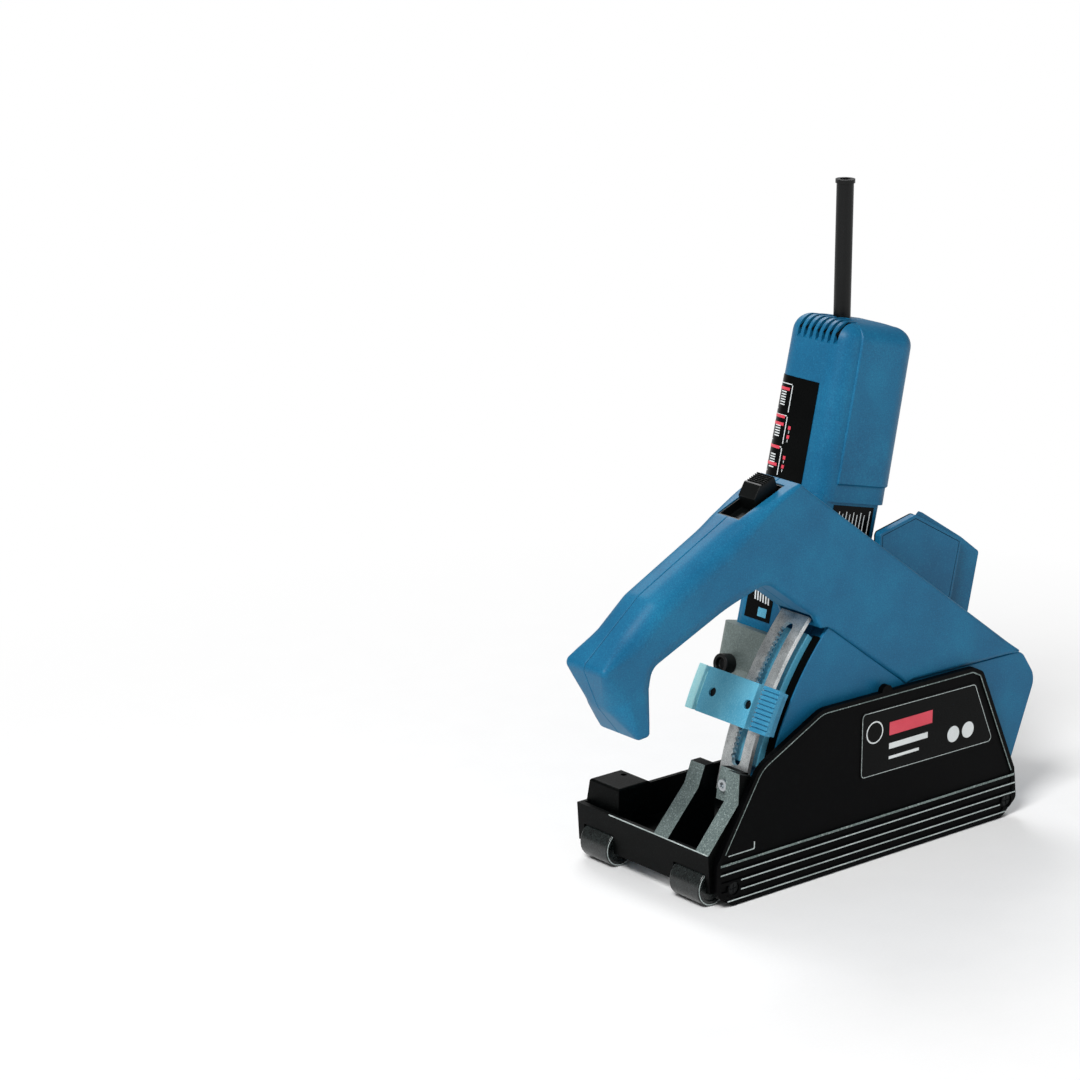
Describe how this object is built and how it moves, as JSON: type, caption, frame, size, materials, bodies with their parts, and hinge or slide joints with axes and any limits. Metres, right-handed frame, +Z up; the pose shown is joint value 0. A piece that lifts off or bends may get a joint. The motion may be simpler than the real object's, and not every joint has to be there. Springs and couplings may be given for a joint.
{
  "type": "wall chaser",
  "caption": "Twin-disc wall chaser: roller shoe, hinged disc hood with forward grip, slotted depth strip with sliding stop, upright motor with cable sleeve and dust outlet.",
  "frame": {"origin": "centre of the whole object's plan outline, on the floor under the rollers", "axes": "+X along the shoe from the grip end to the nose of the hood, +Y from the side plate across to the motor side, +Z up"},
  "size_m": [0.3866, 0.1322, 0.435],
  "materials": {
    "shoe_black": "textured black paint on die-cast aluminium",
    "plate_black": "satin black paint, ribbed",
    "name_plate": "printed foil, blank, thin silver border",
    "strip_steel": "bare ground steel with rolled grain",
    "zinc_steel": "zinc-plated fasteners and pins",
    "black_steel": "blackened steel",
    "roller_black": "worn moulded nylon",
    "housing_blue": "fine-grained glass-filled nylon",
    "stop_blue": "powder-coated light blue",
    "switch_black": "moulded black nylon",
    "gear_grey": "as-cast aluminium",
    "label_black": "printed foil with scale marks",
    "rubber_black": "matt rubber",
    "bearing_steel": "ground bearing steel",
    "gear_steel": "hardened steel",
    "lamination": "stacked electrical steel",
    "copper": "turned copper",
    "bronze": "sintered bronze",
    "carbon": "pressed carbon",
    "disc_steel": "diamond disc core with sintered rim",
    "module_grey": "potted electronics"
  },
  "bodies": {
    "base": {"shoe_frame": "shoe_black", "sole_plate": "shoe_black", "side_plate": "plate_black", "name_plate": "name_plate", "plate_screws": "black_steel", "depth_strip": "strip_steel", "strip_bolt": "zinc_steel", "pivot_pin": "zinc_steel", "return_spring": "black_steel", "front_axle": "zinc_steel", "rear_axle": "zinc_steel"},
    "roller_front_near": {"roller_front_near": "roller_black"},
    "roller_front_far": {"roller_front_far": "roller_black"},
    "roller_rear_near": {"roller_rear_near": "roller_black"},
    "roller_rear_far": {"roller_rear_far": "roller_black"},
    "hood": {"hood_near_shell": "housing_blue", "hood_far_shell": "housing_blue", "guide_rail": "stop_blue", "pivot_bushes": "bronze", "handle_near_shell": "housing_blue", "handle_far_shell": "housing_blue", "shell_screws": "zinc_steel", "switch_frame": "switch_black", "switch_module": "module_grey", "duct_shell": "housing_blue", "duct_cover": "housing_blue", "gear_case": "gear_grey", "bearing_cover": "gear_grey", "spindle_bearings": "bearing_steel", "stop_buffer": "rubber_black", "motor_housing": "housing_blue", "rear_housing": "housing_blue", "scale_label": "label_black", "rating_label": "label_black", "flange_label": "label_black", "cable_sleeve": "rubber_black", "motor_screws": "zinc_steel", "armature_bearings": "bearing_steel", "stator": "lamination", "brush_holders": "bronze", "carbon_brushes": "carbon", "control_module": "module_grey"},
    "armature": {"armature_shaft": "gear_steel", "lamination_stack": "lamination", "commutator": "copper", "cooling_fan": "switch_black"},
    "spindle": {"spindle": "gear_steel", "crown_gear": "gear_steel", "inner_flange": "zinc_steel", "disc_near": "disc_steel", "disc_far": "disc_steel", "spacer_rings": "zinc_steel", "clamping_nut": "black_steel"},
    "switch": {"slide_switch": "switch_black"},
    "lock": {"spindle_lock": "switch_black"},
    "depth_stop": {"stop_block": "stop_blue", "stop_screws": "zinc_steel", "stop_end": "stop_blue"},
    "release": {"release_grip": "stop_blue"}
  },
  "joints": [
    {"name": "roller_front_near_spin", "type": "hinge", "parent": "base", "child": "roller_front_near", "pos_m": [-0.09892, -0.0429, 0.0125], "axis": [0, 1, 0], "continuous": true},
    {"name": "roller_front_far_spin", "type": "hinge", "parent": "base", "child": "roller_front_far", "pos_m": [-0.09892, 0.0456, 0.0125], "axis": [0, 1, 0], "continuous": true},
    {"name": "roller_rear_near_spin", "type": "hinge", "parent": "base", "child": "roller_rear_near", "pos_m": [0.15808, -0.0429, 0.0125], "axis": [0, 1, 0], "continuous": true},
    {"name": "roller_rear_far_spin", "type": "hinge", "parent": "base", "child": "roller_rear_far", "pos_m": [0.15808, 0.0456, 0.0125], "axis": [0, 1, 0], "continuous": true},
    {"name": "hood_plunge", "type": "hinge", "parent": "base", "child": "hood", "pos_m": [0.13608, -0.0409, 0.03], "axis": [0, -1, 0], "range_deg": [0, 12.6], "stiffness_Nm_per_rad": 5, "springref_deg": -51.57},
    {"name": "spindle_spin", "type": "hinge", "parent": "hood", "child": "spindle", "pos_m": [0.02708, -0.0249, 0.062], "axis": [0, 1, 0], "continuous": true},
    {"name": "armature_spin", "type": "hinge", "parent": "hood", "child": "armature", "pos_m": [0.02708, 0.0251, 0.062], "axis": [0.225, 0, 0.9744], "continuous": true},
    {"name": "switch_slide", "type": "slide", "parent": "hood", "child": "switch", "axis": [-0.9312, 0, -0.3644], "range_m": [0, 0.007], "stiffness_N_per_m": 300, "springref_m": -0.002},
    {"name": "spindle_lock_push", "type": "slide", "parent": "hood", "child": "lock", "axis": [0, -1, 0], "range_m": [0, 0.004], "stiffness_N_per_m": 600, "springref_m": -0.002},
    {"name": "depth_stop_slide", "type": "hinge", "parent": "base", "child": "depth_stop", "pos_m": [0.13608, -0.0409, 0.03], "axis": [0, -1, 0], "range_deg": [0, 4]},
    {"name": "release_press", "type": "slide", "parent": "depth_stop", "child": "release", "axis": [0, 1, 0], "range_m": [0, 0.003], "stiffness_N_per_m": 500, "springref_m": -0.001}
  ],
  "couplings": [
    {"joint": "armature_spin", "follows": "spindle_spin", "ratio": 3.0833}
  ]
}
